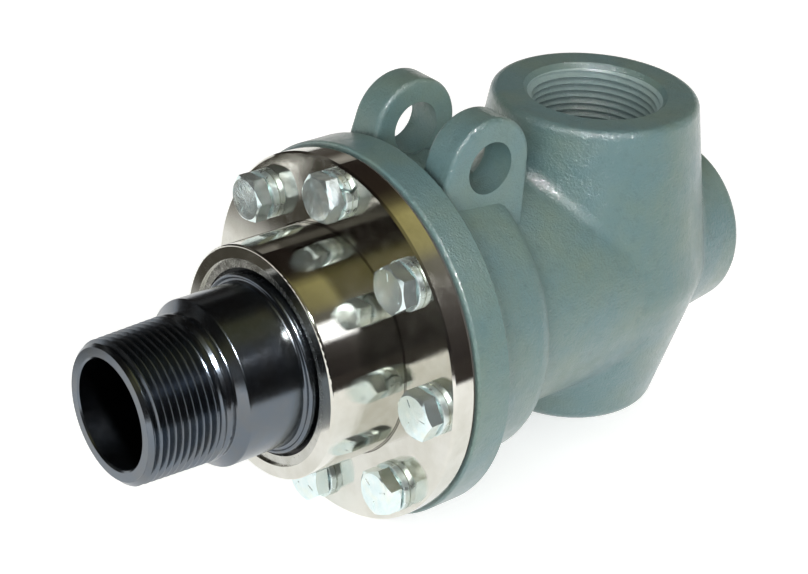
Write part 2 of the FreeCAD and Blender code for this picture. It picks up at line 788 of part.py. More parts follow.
def make_barrel():
    """Flange, ring, shouldered barrel and rear port, turned in one line."""
    barrel = blank("barrel")
    face = place("face")
    turned(barrel, "Barrel", [
        (face, 0), (face, size("flange_radius")), (place("flange_back"), size("flange_radius")),
        (place("flange_back"), size("shoulder_front_radius")),
        (place("shoulder_end"), size("shoulder_back_radius")),
        (place("shoulder_end"), size("barrel_radius")), (place("cross"), size("barrel_radius")),
        (place("rear_root"), size("rear_root_radius")), (place("rear_end"), size("rear_radius")),
        (place("rear_end"), 0)])
    dressed(barrel, "ShoulderRound",
            circles(barrel, place("shoulder_end"), size("shoulder_back_radius")), size("shoulder_round"))
    dressed(barrel, "ShoulderRoot",
            circles(barrel, place("shoulder_end"), size("barrel_radius")), size("shoulder_root"))
    rims = circles(barrel, face, size("flange_radius"))
    rims += circles(barrel, place("flange_back"), size("flange_radius"))
    dressed(barrel, "FlangeEdges", rims, size("flange_edge"))
    dressed(barrel, "RearRim",
            circles(barrel, place("rear_end"), size("rear_radius")), size("rear_round"))
    return barrel


def make_upright():
    """Top port and bottom boss, two cones joined by a rounded waist."""
    upright = blank("upright")
    cross, up = place("cross"), Vector(0, 0, 1)
    turned(upright, "Upright", [
        (cross, f"-{size('boss_depth')}"),
        (f"{cross} + {size('boss_radius')}", f"-{size('boss_depth')}"),
        (f"{cross} + {size('waist_radius')}", 0),
        (f"{cross} + {size('port_rim_radius')}", size("port_height")),
        (cross, size("port_height")),
    ], axis=((cross, 0), (cross, size("port_height"))))
    dressed(upright, "WaistRound",
            circles(upright, 0, size("waist_radius"), up), size("waist_round"))
    dressed(upright, "PortRim",
            circles(upright, size("port_height"), size("port_rim_radius"), up), size("port_rim_round"))
    dressed(upright, "BossRim",
            circles(upright, f"-{size('boss_depth')}", size("boss_radius"), up), size("boss_round"))
    return upright


def make_lugs():
    """Two upright lugs with rounded edges."""
    lugs = blank("lugs")
    add_lug(lugs, "NearLug", 1)
    add_lug(lugs, "FarLug", -1)
    rims = [f"Edge{index}" for index, edge in enumerate(lugs.Shape.Edges, start=1)
            if edge.BoundBox.YLength < 0.01]
    dressed(lugs, "LugEdges", rims, size("lug_edge"))
    return lugs


def make_casting():
    """The solid casting, with soft blends where the upright meets the barrel."""
    cross = doc.addObject("Part::MultiFuse", "Cross")
    cross.Shapes = [make_barrel(), make_upright()]
    doc.recompute()
    meetings = [edge for edge in cross.Shape.Edges
                if not isinstance(edge.Curve, (Part.Line, Part.Circle))]
    blended = doc.addObject("Part::Feature", "CastingBlend")
    blended.Shape = cross.Shape.makeFillet(number(size("casting_blend")), meetings)
    casting = doc.addObject("Part::Fuse", "Casting")
    casting.Base = blended
    casting.Tool = make_lugs()
    doc.recompute()
    return casting


def make_housing():
    """Iron casting with its machined bores, ports and bolt holes."""
    housing = new_body("housing", make_casting())
    face, cross = place("face"), place("cross")
    lug_middle, far = place("lug_centre"), size("flange_radius")
    lug_hole = f"{lug_middle} + {size('lug_hole_radius')}"
    saddle = f"{lug_hole} + {size('lug_saddle')}"
    inside = f"{size('lug_gap')} / 2"
    turned(housing, "LugHole", [
        (lug_middle, f"-{far}"), (lug_hole, f"-{far}"), (lug_hole, f"-{inside}"), (saddle, f"-{inside}"),
        (saddle, inside), (lug_hole, inside), (lug_hole, far), (lug_middle, far),
    ], axis=((lug_middle, 0), (lug_middle, far)), cut=True, role="XY_Plane", lift=size("lug_height"))

    bore = f"{size('spigot_radius')} + {size('spigot_play')}"
    guide = f"{size('carrier_tail_radius')} + {size('carrier_play')}"
    groove = f"{guide} + {size('cord_section')} + {size('groove_play')}"
    groove_front = place("cord_groove_front")
    groove_back = f"{groove_front} + {size('cord_groove_width')}"
    thread_end = f"{place('rear_end')} - {size('rear_thread_depth')}"
    turned(housing, "MainBore", [
        (face, 0), (face, bore), (place("rear_back"), bore),
        (place("rear_back"), size("chamber_radius")), (place("land_front"), size("chamber_radius")),
        (place("land_front"), guide), (groove_front, guide), (groove_front, groove),
        (groove_back, groove), (groove_back, guide), (place("land_back"), guide),
        (place("land_back"), size("core_radius")), (place("core_back"), size("core_radius")),
        (place("core_back"), size("rear_passage_radius")), (thread_end, size("rear_passage_radius")),
        (thread_end, size("rear_thread_radius")),
        (f"{place('rear_end')} - {size('port_chamfer')}", size("rear_thread_radius")),
        (place("rear_end"), f"{size('rear_thread_radius')} + {size('port_chamfer')}"),
        (place("rear_end"), 0)], cut=True)
    thread_floor = f"{size('port_height')} - {size('port_thread_depth')}"
    well, thread = f"{cross} + {size('well_radius')}", f"{cross} + {size('port_thread_radius')}"
    floor, slope = f"-{size('well_depth')}", size("well_bevel")
    turned(housing, "UprightBore", [
        (cross, floor), (f"{well} - {slope}", floor), (well, f"{floor} + {slope}"),
        (well, thread_floor), (thread, thread_floor),
        (thread, f"{size('port_height')} - {size('port_chamfer')}"),
        (f"{thread} + {size('port_chamfer')}", size("port_height")), (cross, size("port_height")),
    ], axis=((cross, 0), (cross, size("port_height"))), cut=True)
    drilled(housing, "BoltHole", face, f"{face} + {size('bolt_hole_depth')}",
            place("bolt_circle"), f"{size('bolt_radius')} + {size('thread_play')}",
            size("bolt_count"), size("drill_point"))
    drilled(housing, "PinHole", place("land_front"), f"{place('land_front')} + {size('pin_depth')}",
            size("pin_circle_radius"), size("pin_radius"), size("pin_count"))


def check_document():
    """Stop if any feature failed, or a sub-part is empty or broken."""
    for item in doc.Objects:
        if "Invalid" in item.State or "Error" in item.State:
            raise ValueError(f"{item.Label} failed")
    for item in subparts:
        if item.Shape.isNull() or not item.Shape.isValid():
            raise ValueError(f"{item.Label} has no sound shape")


make_housing()
make_bearing_cap()
make_gasket()
make_bolts()
make_lock_washers()
make_retaining_rings()
make_dust_seal()
make_rotor()
make_bearing("front", place("front_back"), 1)
make_bearing("rear", place("rear_back"), -1)
make_spacer()
make_seal_seat()
make_carbon_ring()
make_carrier()
make_carrier_cord()
make_wave_spring()
make_pins()
doc.recompute()

os.makedirs("parts", exist_ok=True)
check_document()
for part in subparts:
    part.Shape.exportStep(f"parts/{part.Label}.step")
    print(f"{part.Label}: {len(part.Shape.Solids)} solids, {part.Shape.Volume:.0f} mm3")
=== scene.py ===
import math
import bmesh
import bpy
from mathutils import Matrix, Vector


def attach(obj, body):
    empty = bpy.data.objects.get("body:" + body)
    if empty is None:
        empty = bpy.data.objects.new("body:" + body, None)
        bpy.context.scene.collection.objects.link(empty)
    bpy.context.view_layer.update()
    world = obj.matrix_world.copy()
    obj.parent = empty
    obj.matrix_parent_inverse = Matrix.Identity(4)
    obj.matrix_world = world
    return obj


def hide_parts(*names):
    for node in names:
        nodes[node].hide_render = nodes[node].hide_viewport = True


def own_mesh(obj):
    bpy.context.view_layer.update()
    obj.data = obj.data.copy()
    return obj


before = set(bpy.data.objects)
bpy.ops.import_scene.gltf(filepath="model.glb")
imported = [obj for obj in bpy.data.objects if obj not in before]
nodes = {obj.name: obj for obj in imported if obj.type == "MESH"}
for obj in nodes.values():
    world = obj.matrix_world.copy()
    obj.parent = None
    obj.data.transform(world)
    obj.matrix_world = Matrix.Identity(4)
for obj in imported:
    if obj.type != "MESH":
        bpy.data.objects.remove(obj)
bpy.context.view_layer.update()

scene = bpy.context.scene
mm = 0.001

# camera, fitted to the round edges of the cap, the hub and the ports

cameraSet = {
    "azimuth": -41.535,
    "elevation": 28.554,
    "roll": 4.073,
    "focalPixels": 2018.44,
    "pictureWidth": 808,
    "sensorWidth": 36.0,
    "distance": 576.78,  # from the origin below, along the line of sight, mm
    "aside": 40.004,
    "above": 21.096,
    "origin": (26.391, 0.0, 0.0),
    "clip": (0.01, 50.0),  # metres
}


def makeCamera(s):
    turn, rise, roll = (math.radians(s[key]) for key in ("azimuth", "elevation", "roll"))
    back = Vector((math.sin(turn) * math.cos(rise), -math.cos(turn) * math.cos(rise), math.sin(rise)))
    level = Vector((math.cos(turn), math.sin(turn), 0.0))
    upright = back.cross(level)
    right = math.cos(roll) * level + math.sin(roll) * upright
    up = math.cos(roll) * upright - math.sin(roll) * level
    place = s["distance"] * back + s["aside"] * right + s["above"] * up + Vector(s["origin"])
    data = bpy.data.cameras.new("camera")
    data.sensor_width = s["sensorWidth"]
    data.lens = s["sensorWidth"] * s["focalPixels"] / s["pictureWidth"]
    data.clip_start, data.clip_end = s["clip"]
    camera = bpy.data.objects.new("camera", data)
    scene.collection.objects.link(camera)
    axes = Matrix((right, up, back)).transposed()
    camera.matrix_world = Matrix.Translation(place * mm) @ axes.to_4x4()
    scene.camera = camera


makeCamera(cameraSet)
print("camera placed")


# node trees

def addNode(tree, kind, settings=None, inputs=None):
    node = tree.nodes.new("ShaderNode" + kind)
    for key, value in (settings or {}).items():
        setattr(node, key, value)
    for key, value in (inputs or {}).items():
        if isinstance(value, bpy.types.NodeSocket):
            tree.links.new(value, node.inputs[key])
        else:
            node.inputs[key].default_value = value
    return node


def newMaterial(name, settings):
    material = bpy.data.materials.new(name)
    material.use_nodes = True
    tree = material.node_tree
    tree.nodes.clear()
    shader = addNode(tree, "BsdfPrincipled", inputs=settings)
    addNode(tree, "OutputMaterial", inputs={"Surface": shader.outputs["BSDF"]})
    return material, tree, shader


def partPoint(tree):
    return addNode(tree, "TexCoord").outputs["Object"]


def noise(tree, point, cell, detail=3.0, roughness=0.5):
    # cell is the size of the lumps in millimetres, and a noise in a dictionary has the same three values
    inputs = {"Vector": point, "Scale": 1.0 / (cell * mm), "Detail": detail, "Roughness": roughness}
    return addNode(tree, "TexNoise", inputs=inputs).outputs["Fac"]


def maths(tree, kind, first, second=0.0):
    return addNode(tree, "Math", {"operation": kind}, {0: first, 1: second}).outputs[0]


def spread(tree, value, low, high, fromLow=0.3, fromHigh=0.7):
    # the result runs from low to high while the value runs from fromLow to fromHigh
    inputs = {"Value": value, "From Min": fromLow, "From Max": fromHigh, "To Min": low, "To Max": high}
    return addNode(tree, "MapRange", inputs=inputs).outputs["Result"]


def mixed(tree, amount, first, second):
    node = addNode(tree, "Mix", {"data_type": "RGBA"})
    for index, value in ((0, amount), (6, first), (7, second)):
        if isinstance(value, bpy.types.NodeSocket):
            tree.links.new(value, node.inputs[index])
        else:
            node.inputs[index].default_value = (*value, 1.0)
    return node.outputs[2]


def raised(tree, height, depth, under=None):
    # depth is the height of the relief in millimetres
    inputs = {"Height": height, "Distance": depth * mm}
    if under:
        inputs["Normal"] = under
    return addNode(tree, "Bump", inputs=inputs).outputs["Normal"]


def feed(tree, shader, **values):
    sockets = {"colour": "Base Color", "roughness": "Roughness", "normal": "Normal",
               "coatNormal": "Coat Normal"}
    for name, value in values.items():
        tree.links.new(value, shader.inputs[sockets[name]])


def axisDistance(tree, split):
    across = addNode(tree, "CombineXYZ", inputs={"Y": split.outputs["Y"], "Z": split.outputs["Z"]})
    length = addNode(tree, "VectorMath", {"operation": "LENGTH"}, {0: across.outputs["Vector"]})
    return length.outputs["Value"]


wander = {"noise": (9.0, 1.0), "share": 0.6}  # how far turning marks stray, as a share of their pitch


def turningMarks(tree, point, pitch):
    # fine rings that a cutter leaves when it feeds along the rotor's axis or across a face
    split = addNode(tree, "SeparateXYZ", inputs={"Vector": point})
    travel = maths(tree, "ADD", split.outputs["X"], axisDistance(tree, split))
    drift = maths(tree, "MULTIPLY", noise(tree, point, *wander["noise"]), wander["share"] * pitch * mm)
    turns = maths(tree, "MULTIPLY", maths(tree, "ADD", travel, drift), 2.0 * math.pi / (pitch * mm))
    return maths(tree, "SINE", turns)


# painted casting

enamelSet = {
    "colour": (0.112, 0.202, 0.212),
    "green": (0.142, 0.212, 0.180),
    "deep": (0.074, 0.132, 0.138),
    "specular": 0.35,
    "coat": (0.65, 0.05, 1.5),  # weight, roughness and refraction
    "gloss": (0.34, 0.50),
    "glossNoise": (5.0,),
    "patchNoise": (24.0, 4.0, 0.55),
    "patches": (0.0, 1.0, 0.38, 0.68),
    # painted shade: the paint colour darkens towards this one where ambient occlusion finds creases and
    # corners
    "creaseShade": (0.035, 0.055, 0.055),
    "creaseShadeSpread": (0.7, 0.0, 0.40, 0.72),
    "creaseShadeReach": 8.0,
    "creaseShadeSamples": 8,
    "castNoise": (3.4, 4.0, 0.6),
    "castDepth": 0.34,
    "hollows": (0.30, 0.0, 0.28, 0.46),
    "peelNoise": (0.75, 3.0, 0.6),
    "peelDepth": 0.34,
}

# thinner, lighter paint on the threads that were cut in the ports, its colours raised further as painted
# light that stands in for light reflected into the bores
oversprayAndPaintedLight = {
    **enamelSet,
    # painted light in part: these colours are raised to brighten the thread roots deep in the ports
    "colour": (0.270, 0.380, 0.390),
    "green": (0.290, 0.380, 0.360),
    "deep": (0.220, 0.310, 0.315),
    # painted shade in the thread roots, from ambient occlusion over a shorter reach
    "creaseShade": (0.110, 0.160, 0.165),
    "creaseShadeReach": 1.6,
}


def makeEnamel(name, s):
    weight, roughness, refraction = s["coat"]
    material, tree, shader = newMaterial(name, {
        "Specular IOR Level": s["specular"], "Coat Weight": weight, "Coat Roughness": roughness,
        "Coat IOR": refraction})
    point = partPoint(tree)
    patches = spread(tree, noise(tree, point, *s["patchNoise"]), *s["patches"])
    colour = mixed(tree, patches, s["colour"], s["green"])
    cast = noise(tree, point, *s["castNoise"])
    colour = mixed(tree, spread(tree, cast, *s["hollows"]), colour, s["deep"])
    # painted shade: ambient occlusion darkens the paint colour in creases, corners and behind the lugs,
    # standing in for the shade that falls there
    reach = s["creaseShadeReach"] * mm
    shade = addNode(tree, "AmbientOcclusion", {"samples": s["creaseShadeSamples"]}, {"Distance": reach})
    colour = mixed(tree, spread(tree, shade.outputs["AO"], *s["creaseShadeSpread"]), colour, s["creaseShade"])
    peel = noise(tree, point, *s["peelNoise"])
    rough = spread(tree, noise(tree, point, *s["glossNoise"]), *s["gloss"])
    normal = raised(tree, peel, s["peelDepth"], raised(tree, cast, s["castDepth"]))
    feed(tree, shader, colour=colour, roughness=rough, normal=normal, coatNormal=normal)
    return material


# bright plating of the bearing cap

plateSet = {
    "colour": (0.66, 0.655, 0.61),
    "tint": (0.55, 0.54, 0.48),
    "clouds": (0.0, 1.0, 0.42, 0.75),
    "cloudNoise": (14.0, 4.0, 0.6),
    "gloss": (0.05, 0.14, 0.35, 0.75),
    "glossNoise": (3.5, 5.0, 0.65),
    "waveNoise": (16.0, 2.0),
    "waveDepth": 0.04,
    "pitch": 0.32,
    "markDepth": 0.0012,
    "root": (35.06, 35.5),  # radii of the tool's fine line where the hub meets the face
    "rootColour": (0.16, 0.15, 0.13),
}


def makePlate(s):
    material, tree, shader = newMaterial("polishedPlate", {"Metallic": 1.0})
    point = partPoint(tree)
    clouds = spread(tree, noise(tree, point, *s["cloudNoise"]), *s["clouds"])
    colour = mixed(tree, clouds, s["colour"], s["tint"])
    low, high = (radius * mm for radius in s["root"])
    radius = axisDistance(tree, addNode(tree, "SeparateXYZ", inputs={"Vector": point}))
    inside = maths(tree, "GREATER_THAN", radius, low)
    root = maths(tree, "MULTIPLY", inside, maths(tree, "LESS_THAN", radius, high))
    colour = mixed(tree, root, colour, s["rootColour"])
    rough = spread(tree, noise(tree, point, *s["glossNoise"]), *s["gloss"])
    waves = raised(tree, noise(tree, point, *s["waveNoise"]), s["waveDepth"])
    marks = raised(tree, turningMarks(tree, point, s["pitch"]), s["markDepth"], waves)
    feed(tree, shader, colour=colour, roughness=rough, normal=marks)
    return material


# zinc of the bolts and washers: colour, cool and straw stains, roughness from and to

zincSet = {
    "brightZinc": ((0.80, 0.89, 0.89), (0.70, 0.83, 0.84), (0.82, 0.86, 0.78), 0.12, 0.20),
    "dullZinc": ((0.70, 0.78, 0.78), (0.62, 0.72, 0.72), (0.74, 0.77, 0.69), 0.24, 0.36),
}
zincGrain = {
    "metallic": 0.88,
    "coolNoise": (2.2,),
    "strawNoise": (6.0, 2.0),
    "straws": (0.0, 0.6, 0.5, 0.7),
    "glossNoise": (2.6, 3.0),
    "waveNoise": (3.4, 2.0),
    "waveDepth": 0.035,
    "grainNoise": (0.5, 2.0),
    "grainDepth": 0.003,
}


def makeZinc(name, colour, cool, straw, low, high):
    s = zincGrain
    material, tree, shader = newMaterial(name, {"Metallic": s["metallic"]})
    point = partPoint(tree)
    shade = mixed(tree, spread(tree, noise(tree, point, *s["coolNoise"]), 0.0, 1.0), colour, cool)
    straws = spread(tree, noise(tree, point, *s["strawNoise"]), *s["straws"])
    shade = mixed(tree, straws, shade, straw)
    rough = spread(tree, noise(tree, point, *s["glossNoise"]), low, high)
    waves = raised(tree, noise(tree, point, *s["waveNoise"]), s["waveDepth"])
    normal = raised(tree, noise(tree, point, *s["grainNoise"]), s["grainDepth"], waves)
    feed(tree, shader, colour=shade, roughness=rough, normal=normal)
    return material


# turned and ground steels: colour, stain, roughness from and to, pitch and height of the marks

steelSet = {
    "blackOxide": ((0.128, 0.150, 0.178), (0.145, 0.155, 0.165), 0.17, 0.22, 0.25, 0.0008),
    "brightSteel": ((0.52, 0.52, 0.49), (0.42, 0.42, 0.38), 0.16, 0.32, 0.20, 0.0015),
    "groundSteel": ((0.66, 0.665, 0.67), (0.58, 0.57, 0.54), 0.08, 0.20, 0.12, 0.0008),
    "turnedSteel": ((0.52, 0.525, 0.53), (0.43, 0.42, 0.39), 0.20, 0.38, 0.30, 0.0040),
    "springSteel": ((0.22, 0.23, 0.25), (0.17, 0.165, 0.17), 0.25, 0.42, 0.40, 0.0020),
    "cageSteel": ((0.42, 0.39, 0.31), (0.33, 0.30, 0.24), 0.26, 0.44, 0.50, 0.0020),
    "hardFace": ((0.36, 0.37, 0.39), (0.30, 0.30, 0.31), 0.05, 0.14, 0.10, 0.0004),
}
steelGrain = {
    "cloudNoise": (6.0, 4.0, 0.6),
    "clouds": (0.0, 1.0, 0.40, 0.74),
    "glossNoise": (1.8, 5.0, 0.65),
    "gritNoise": (0.5,),
    "gritDepth": 0.006,
}


def makeSteel(name, colour, stain, low, high, pitch, height):
    s = steelGrain
    material, tree, shader = newMaterial(name, {"Metallic": 1.0})
    point = partPoint(tree)
    clouds = spread(tree, noise(tree, point, *s["cloudNoise"]), *s["clouds"])
    shade = mixed(tree, clouds, colour, stain)
    rough = spread(tree, noise(tree, point, *s["glossNoise"]), low, high)
    grit = raised(tree, noise(tree, point, *s["gritNoise"]), s["gritDepth"])
    marks = raised(tree, turningMarks(tree, point, pitch), height, grit)
    feed(tree, shader, colour=shade, roughness=rough, normal=marks)
    return material


# rubber, carbon and fibre: colour, dust, roughness from and to, grain size and height

softSet = {
    "sealRubber": ((0.012, 0.012, 0.013), (0.028, 0.028, 0.027), 0.42, 0.62, 0.50, 0.020),
    "cordRubber": ((0.014, 0.014, 0.015), (0.022, 0.022, 0.022), 0.45, 0.60, 0.40, 0.015),
    "carbonGraphite": ((0.032, 0.032, 0.035), (0.050, 0.050, 0.052), 0.28, 0.42, 0.25, 0.006),
    "fibreSheet": ((0.050, 0.047, 0.040), (0.090, 0.085, 0.070), 0.75, 0.92, 0.30, 0.030),
}
softGrain = {
    "specular": 0.45,
    "dustNoise": (6.0, 5.0, 0.65),
    "dusts": (0.0, 1.0, 0.45, 0.80),
    "glossNoise": (2.5,),
    "grainNoise": (3.0, 0.6),  # detail and roughness, and its size is each finish's own
}


def makeSoft(name, colour, dust, low, high, grain, depth):
    s = softGrain
    material, tree, shader = newMaterial(name, {"Specular IOR Level": s["specular"]})
    point = partPoint(tree)
    dusts = spread(tree, noise(tree, point, *s["dustNoise"]), *s["dusts"])
    shade = mixed(tree, dusts, colour, dust)
    rough = spread(tree, noise(tree, point, *s["glossNoise"]), low, high)
    normal = raised(tree, noise(tree, point, grain, *s["grainNoise"]), depth)
    feed(tree, shader, colour=shade, roughness=rough, normal=normal)
    return material


finishes = {
    "castEnamel": makeEnamel("castEnamel", enamelSet),
    "threadEnamel": makeEnamel("threadEnamel", oversprayAndPaintedLight),
    "polishedPlate": makePlate(plateSet),
}
for name, values in zincSet.items():
    finishes[name] = makeZinc(name, *values)
for name, values in steelSet.items():
    finishes[name] = makeSteel(name, *values)
for name, values in softSet.items():
    finishes[name] = makeSoft(name, *values)

nodeFinish = {
    "housing": "castEnamel",
    "bearing_cap": "polishedPlate",
    "cap_gasket": "fibreSheet",
    "rotor_retaining_ring": "springSteel",
    "hub_retaining_ring": "brightSteel",
    "dust_seal": "sealRubber",
    "front_bearing_cup": "groundSteel",
    "front_bearing_cone": "groundSteel",
    "front_bearing_rollers": "groundSteel",
    "front_bearing_cage": "cageSteel",
    "rear_bearing_cup": "groundSteel",
    "rear_bearing_cone": "groundSteel",
    "rear_bearing_rollers": "groundSteel",
    "rear_bearing_cage": "cageSteel",
    "bearing_spacer": "turnedSteel",
    "seal_seat": "hardFace",
    "seat_o_ring": "cordRubber",
    "carbon_seal_ring": "carbonGraphite",
    "seal_carrier": "turnedSteel",
    "carrier_o_ring": "cordRubber",
    "anti_rotation_pins": "groundSteel",
}
for name, finish in nodeFinish.items():
    nodes[name].data.materials.clear()
    nodes[name].data.materials.append(finishes[finish])
print("finishes made:", len(finishes))


# mesh tools, all in millimetres, with the axis of each turned shape along its own x

def ringPoint(along, radius, angle):
    return along, radius * math.cos(angle), radius * math.sin(angle)


def joined(*shapes):
    points, faces = [], []
    for shapePoints, shapeFaces in shapes:
        base = len(points)
        points += shapePoints
        faces += [tuple(index + base for index in face) for face in shapeFaces]
    return points, faces


def placed(shape, matrix):
    return [matrix @ Vector(point) for point in shape[0]], shape[1]


weld = 0.0005  # points closer than this are one point


def makePiece(name, shape, finish, body, sharp=32.0):
    mesh = bpy.data.meshes.new(name)
    mesh.from_pydata([Vector(point) * mm for point in shape[0]], [], shape[1])
    build = bmesh.new()
    build.from_mesh(mesh)
    bmesh.ops.remove_doubles(build, verts=build.verts, dist=weld * mm)
    bmesh.ops.recalc_face_normals(build, faces=build.faces)
    build.to_mesh(mesh)
    build.free()
    mesh.materials.append(finishes[finish])
    mesh.shade_smooth()
    mesh.set_sharp_from_angle(angle=math.radians(sharp))
    piece = bpy.data.objects.new(name, mesh)
    scene.collection.objects.link(piece)
    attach(piece, body)
    return piece


def skin(rows):
    # joins rows of points, each row one ring round the axis
    count = len(rows[0])
    faces = []
    for row in range(len(rows) - 1):
        for step in range(count):
            near, far = row * count, (row + 1) * count
            beside = (step + 1) % count
            faces.append((near + step, near + beside, far + beside, far + step))
    return [point for row in rows for point in row], faces


def lathe(path, segments):
    angles = [2 * math.pi * step / segments for step in range(segments)]
    return skin([[ringPoint(along, radius, angle) for angle in angles] for along, radius in path])


def rounded(corners, steps=4):
    # corners are (along, radius, rounding), and the first and last have no rounding
    path = []
    for index, (along, radius, rounding) in enumerate(corners):
        here = Vector((along, radius))
        if not rounding:
            path.append((along, radius))
            continue
        before = (Vector(corners[index - 1][:2]) - here).normalized()
        after = (Vector(corners[index + 1][:2]) - here).normalized()
        half = before.angle(after) / 2
        centre = here + (before + after).normalized() * (rounding / math.sin(half))
        first = here + before * (rounding / math.tan(half)) - centre
        last = here + after * (rounding / math.tan(half)) - centre
        for step in range(steps + 1):
            spot = centre + first.slerp(last, step / steps)
            path.append((spot.x, spot.y))
    return path


def threadRadius(s, along, cut):
    if along <= s["start"]:
        return s["startRadius"]
    if along >= s["end"]:
        return s["endRadius"]
    side = s["side"]
    reach = along - s["start"]
    fade = min(1.0, (s["end"] - along) / s["fade"])
    radius = s["crest"] + side * (reach * s["taper"] - s["depth"] * cut * fade)
    lead = s["startRadius"] + side * reach
    return min(radius, lead) if side > 0 else max(radius, lead)


# one turn of a thread: how far along the pitch each point is, and how deep it is cut
threadProfile = ((0.0, 0.0), (0.08, 0.0), (0.28, 0.5), (0.48, 1.0), (0.58, 1.0), (0.79, 0.5))


def thread(s, segments):
    # each turn of the helix shares its points with the next, and both ends run into plain circles
    count = len(threadProfile)
    samples = (math.ceil((s["end"] - s["start"]) / s["pitch"]) + 3) * segments
    points, faces = [], []
    for sample in range(samples):
        angle = 2 * math.pi * (sample % segments) / segments
        for phase, cut in threadProfile:
            along = s["start"] + (sample / segments - 1 + phase) * s["pitch"]
            along = min(max(along, s["start"]), s["end"])
            points.append(ringPoint(along, threadRadius(s, along, cut), angle))
    for sample in range(samples - 1):
        for corner in range(count):
            near = sample * count + corner
            far = near + 1 if corner + 1 < count else (sample + segments) * count
            if far + count < len(points):
                faces.append((near, near + count, far + count, far))
    return points, faces


# rotor, with its taper pipe thread

rotorSet = {
    "segments": 144,
    "thread": {"side": 1, "pitch": 2.209, "start": -25.5, "end": 0.0, "startRadius": 19.2, "endRadius": 21.6,
               "crest": 20.8, "taper": 1 / 32, "depth": 1.55, "fade": 4.6},
    "bore": 16.0,
    "boreEdge": 0.5,
    "neck": (1.9, 21.6),
    "collar": (4.4, 24.1, 23.2),  # start, radius, end
    "shoulder": (26.3, 34.4),  # radius, end
    "abutment": (22.5, 35.9),
    "seat": (20.0, 68.9),
    "groove": (18.75, 70.75),
    "tail": 72.9,
    "spigot": (18.5, 77.9),
    "rounds": {"neck": 0.4, "collar": 0.5, "collarBack": 1.4, "shoulder": 0.4, "abutment": 0.3,
               "seat": 0.2, "spigot": 0.4},
}


def makeRotor(s):
    screw, bore, edge = s["thread"], s["bore"], s["boreEdge"]
    collarStart, collar, collarEnd = s["collar"]
    shoulder, shoulderEnd = s["shoulder"]
    abutment, abutmentEnd = s["abutment"]
    seat, seatEnd = s["seat"]
    groove, grooveEnd = s["groove"]
    spigot, spigotEnd = s["spigot"]
    rounds = s["rounds"]
    path = rounded([
        (screw["end"], screw["endRadius"], 0),
        (*s["neck"], rounds["neck"]),
        (collarStart, collar, rounds["collar"]),
        (collarEnd, collar, rounds["collarBack"]),
        (collarEnd, shoulder, rounds["shoulder"]),
        (shoulderEnd, shoulder, rounds["shoulder"]),
        (shoulderEnd, abutment, rounds["abutment"]),
        (abutmentEnd, abutment, rounds["abutment"]),
        (abutmentEnd, seat, 0),
        (seatEnd, seat, 0),
        (seatEnd, groove, 0),
        (grooveEnd, groove, 0),
        (grooveEnd, seat, rounds["seat"]),
        (s["tail"], seat, rounds["seat"]),
        (s["tail"], spigot, 0),
        (spigotEnd, spigot, rounds["spigot"]),
        (spigotEnd, bore + edge, 0),
        (spigotEnd - edge, bore, 0),
        (screw["start"] + edge, bore, 0),
        (screw["start"], bore + edge, 0),
        (screw["start"], screw["startRadius"], 0),
    ])
    shape = joined(lathe(path, s["segments"]), thread(screw, s["segments"]))
    piece = makePiece("threadedRotor", shape, "blackOxide", "rotor_assembly")
    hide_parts("rotor")


makeRotor(rotorSet)
print("rotor threaded")

# pipe threads cut in the housing's two ports, each a thin sleeve let into the wall of its bore

portSegments = 128
portSet = {
    "topPortThread": {"mouth": (150.6, 0.0, 54.8), "inward": (0.0, 0.0, -1.0), "side": -1, "pitch": 2.209,
                      "start": 0.0, "end": 23.6, "startRadius": 21.3, "endRadius": 18.81, "crest": 19.55,
                      "taper": 1 / 32, "depth": 1.45, "fade": 3.0},
    "rearPortThread": {"mouth": (195.9, 0.0, 0.0), "inward": (-1.0, 0.0, 0.0), "side": -1, "pitch": 2.209,
                       "start": 0.0, "end": 21.6, "startRadius": 16.9, "endRadius": 14.52, "crest": 15.2,
                       "taper": 1 / 32, "depth": 1.42, "fade": 3.0},
}


def makePortThread(name, s):
    outside = s["startRadius"]
    wall = lathe([(s["end"], s["endRadius"]), (s["end"], outside), (s["start"], outside)], portSegments)
    turn = Vector((1.0, 0.0, 0.0)).rotation_difference(Vector(s["inward"])).to_matrix().to_4x4()
    shape = placed(joined(thread(s, portSegments), wall), Matrix.Translation(s["mouth"]) @ turn)
    makePiece(name, shape, "threadEnamel", "housing_assembly")


for name, values in portSet.items():
    makePortThread(name, values)
print("ports threaded")

# cap bolts, each with its tip at the origin and its head up its own x

boltSet = {
    "count": 8,
    "segments": 48,
    "circle": 47.0,
    "seat": 47.8,
    "length": 20.0,
    "headHeight": 5.3,
    "acrossFlats": 13.0,
    "crown": 6.15,  # radius of the flat top inside the chamfer
    "crownAngle": 30.0,
    "underside": (5.8, 0.3),  # radius and height of the ring that bears on the washer
    "skirt": 0.3,
    "shank": 4.0,
    "thread": {"side": 1, "pitch": 1.25, "start": 0.0, "end": 14.0, "startRadius": 3.1, "endRadius": 4.0,
               "crest": 4.0, "taper": 0.0, "depth": 0.72, "fade": 2.0},
    "marks": (2.7, 5.1, 0.55, 0.16),  # from, to, width and height of each raised radial mark
    "markDraft": 0.08,
    "markRoot": 0.1,  # how far each mark reaches into the head
    "markAngles": (90, 210, 330),
    "sharp": 20.0,
    "turns": (36, 38, 50, 22, 14, 59, 33, 12),  # how far each head has been turned, degrees
}


def hexRadius(acrossFlats, angle):
    sector = math.radians(60)
    return acrossFlats / 2 / math.cos((angle + sector / 2) % sector - sector / 2)


